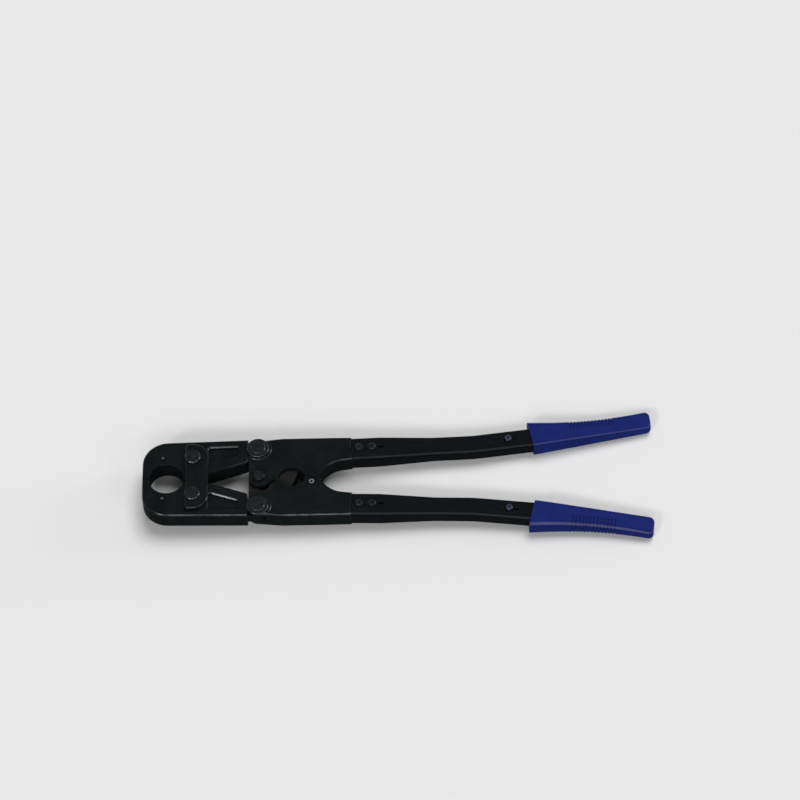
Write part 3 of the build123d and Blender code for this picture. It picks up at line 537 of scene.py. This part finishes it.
dress(powder_coat("powder_coat"), "upper_handle_tube", "lower_handle_tube")


# Handle bolts: button-head socket screws through tube and shank, with nuts behind.
# They are black-oxided like the other fasteners.
for side in ("upper_", "lower_"):
    dress(oxided_bolt(side + "handle_bolt_black", middle_of(side + "handle_bolts")), side + "handle_bolts")
    dress(oxided_bolt(side + "handle_nut_black", middle_of(side + "handle_nuts")), side + "handle_nuts")


# Grip cores: plain steel tubes inside the grips, seen only through the small hole beside the grip's screw.
# They are bare drawn steel.
CORE_STEEL = (0.3, 0.31, 0.33, 1)
CORE_ROUGHNESS = 0.4

for side in ("upper_", "lower_"):
    core = side + "grip_core"
    dress(turned_steel(side + "core_plain", CORE_STEEL, CORE_ROUGHNESS, middle_of(core)), core)


# Grips: moulded in blue plastic over the core, flared at the front and ribbed on the outer side.
# The mould left a fine grain and hands have polished it a little; shade is painted darker between the ribs.
GRIP_BLUE = (0.0082, 0.0160, 0.125, 1)
GRIP_PALE = (0.0100, 0.0190, 0.140, 1)
# A darker blue painted between the ribs as shade.
GRIP_PAINTED_SHADE = (0.0040, 0.0075, 0.050, 1)
GRIP_ROUGHNESS = 0.42
GRIP_GLOSS = 0.02
GRIP_EDGE_GLOSS = 0.50
GRIP_SHINE = (0.36, 0.50)        # roughness of its brightest and dullest patches
GRIP_TONE_MM = 30
GRIP_PATCH_MM = 12
GRIP_EDGE = 0.4                  # millimetres
GROOVE_SHADE_REACH_MM = 1.2
GROOVE_SHADE_LEVELS = (0.85, 0.45)       # openness where the painted shade begins, and where it is full
PORES = 1400                     # along a metre
PORE_DEPTH = 0.02                # millimetres, as the next two
RIPPLE_MM = 3
RIPPLE_DEPTH = 0.015


def grained_plastic(name):
    finish, tree, shader = new_finish(name, GRIP_BLUE, GRIP_ROUGHNESS, gloss=GRIP_GLOSS)
    place = place_of(tree)
    patches = spread(tree, mottle(tree, place, GRIP_TONE_MM), *SOFT)
    clean = between(tree, patches, GRIP_BLUE, GRIP_PALE)
    # Painted shade: the colour darkens in the grooves between the ribs, by ambient occlusion.
    groove_shade = spread(tree, openness(tree, GROOVE_SHADE_REACH_MM), *GROOVE_SHADE_LEVELS)
    tree.links.new(between(tree, groove_shade, clean, GRIP_PAINTED_SHADE), shader.inputs["Base Color"])
    gloss = spread(tree, machined_bevels(tree), 0, 1, GRIP_GLOSS, GRIP_EDGE_GLOSS)
    tree.links.new(gloss, shader.inputs["Specular IOR Level"])
    shine = spread(tree, mottle(tree, place, GRIP_PATCH_MM), *SOFT, *GRIP_SHINE)
    tree.links.new(shine, shader.inputs["Roughness"])
    pores = tree.nodes.new("ShaderNodeTexVoronoi")
    pores.inputs["Scale"].default_value = PORES
    tree.links.new(place, pores.inputs["Vector"])
    ripples = mottle(tree, place, RIPPLE_MM, detail=2)
    relief(tree, shader, GRIP_EDGE, [(pores.outputs["Distance"], PORE_DEPTH), (ripples, RIPPLE_DEPTH)])
    return finish


dress(grained_plastic("blue_grip_plastic"), "upper_grip", "lower_grip")


# Grip screws: zinc-plated cross-recess screws that fix each grip's core in its tube.
# The plating has a bluish tinge.
ZINC = (0.036, 0.037, 0.062, 1)
ZINC_ROUGHNESS = 0.3

for side in ("upper_", "lower_"):
    screw = side + "grip_screw"
    dress(turned_steel(side + "screw_zinc", ZINC, ZINC_ROUGHNESS, middle_of(screw)), screw)


# Stage: a pale floor that the tool rests on at the ends of its jaw bolts and at its grips.
# Soft lamps stand in front and overhead, and the world gives a little even light.
FLOOR_PALE = (0.80, 0.80, 0.80, 1)
FLOOR_ROUGHNESS = 0.8
FLOOR_GLOSS = 0.1
FLOOR_SIZE = 40
AIM = Vector((0.262, 0.0, 0.0))
LAMP_DISTANCE = 3.0
WORLD_LIGHT = 0.14
LAMPS = {                        # degrees from +X, degrees above level, width in degrees, strength
    "overhead_lamp": (60, 66, 40, 1.85),
    "front_lamp": (-88, 35.5, 20, 0.60),
    "front_left_lamp": (-122, 33, 10, 0.80),
    "front_right_lamp": (-44, 30, 16, 0.22),
    "right_lamp": (16, 12, 20, 0.90),
}


def points_of(node):
    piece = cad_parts[node]
    return [piece.matrix_world @ vertex.co for vertex in piece.data.vertices]


head = min(points_of("upper_jaw_bolt"), key=lambda point: (round(point.z, 6), -point.x))
slope = min((point.z - head.z) / (point.x - head.x) for point in points_of("upper_grip"))
tilt = (0, -math.atan(slope), 0)
bpy.ops.mesh.primitive_plane_add(size=FLOOR_SIZE, location=(head.x, 0, head.z), rotation=tilt)
floor = bpy.context.object
floor.name = "floor"
finish, tree, shader = new_finish("pale_floor", FLOOR_PALE, FLOOR_ROUGHNESS, gloss=FLOOR_GLOSS)
floor.data.materials.append(finish)


def lamp(name, azimuth, elevation, spread_deg, strength):
    """A far, soft, round lamp in a direction, in degrees from +X and above level, as wide as its spread."""
    light = bpy.data.lights.new(name, "SUN")
    light.angle = math.radians(spread_deg)
    light.energy = strength
    holder = bpy.data.objects.new(name, light)
    turn, rise = math.radians(azimuth), math.radians(elevation)
    away = Vector((math.cos(turn) * math.cos(rise), math.sin(turn) * math.cos(rise), math.sin(rise)))
    holder.location = AIM + LAMP_DISTANCE * away
    holder.rotation_euler = away.to_track_quat("Z", "Y").to_euler()
    bpy.context.scene.collection.objects.link(holder)


for name, values in LAMPS.items():
    lamp(name, *values)

world = bpy.data.worlds.new("studio")
world.use_nodes = True
world.node_tree.nodes["Background"].inputs["Color"].default_value = (1, 1, 1, 1)
world.node_tree.nodes["Background"].inputs["Strength"].default_value = WORLD_LIGHT
bpy.context.scene.world = world
bpy.context.scene.view_settings.view_transform = "Standard"


# Camera: far off with a long lens, above the lower handle, a little askew to the tool.
# It is placed so that the middle of the tool falls on a known pixel of an 800 by 800 picture.
PICTURE = 800
SENSOR = 36
CAMERA_TARGET = Vector((0.262, 0.0, 0.010))
TARGET_PIXEL = (399.8, 474.8)
PIXELS_PER_METRE = 891.8         # at the target
CAMERA_DISTANCE = 6.0
CAMERA_AZIMUTH = 1.86
CAMERA_ELEVATION = 54.5
CAMERA_ROLL = -2.65

turn, rise, roll = (math.radians(angle) for angle in (CAMERA_AZIMUTH, CAMERA_ELEVATION, CAMERA_ROLL))
back = Vector((math.sin(turn) * math.cos(rise), -math.cos(turn) * math.cos(rise), math.sin(rise)))
stance = back.to_track_quat("Z", "Y") @ Quaternion((0, 0, 1), roll)
aside = (PICTURE / 2 - TARGET_PIXEL[0]) / PIXELS_PER_METRE
above = (TARGET_PIXEL[1] - PICTURE / 2) / PIXELS_PER_METRE
lens = bpy.data.cameras.new("camera")
lens.sensor_width = SENSOR
lens.lens = SENSOR * PIXELS_PER_METRE * CAMERA_DISTANCE / PICTURE
camera = bpy.data.objects.new("camera", lens)
camera.location = CAMERA_TARGET + stance @ Vector((aside, above, CAMERA_DISTANCE))
camera.rotation_euler = stance.to_euler()
bpy.context.scene.collection.objects.link(camera)
bpy.context.scene.camera = camera
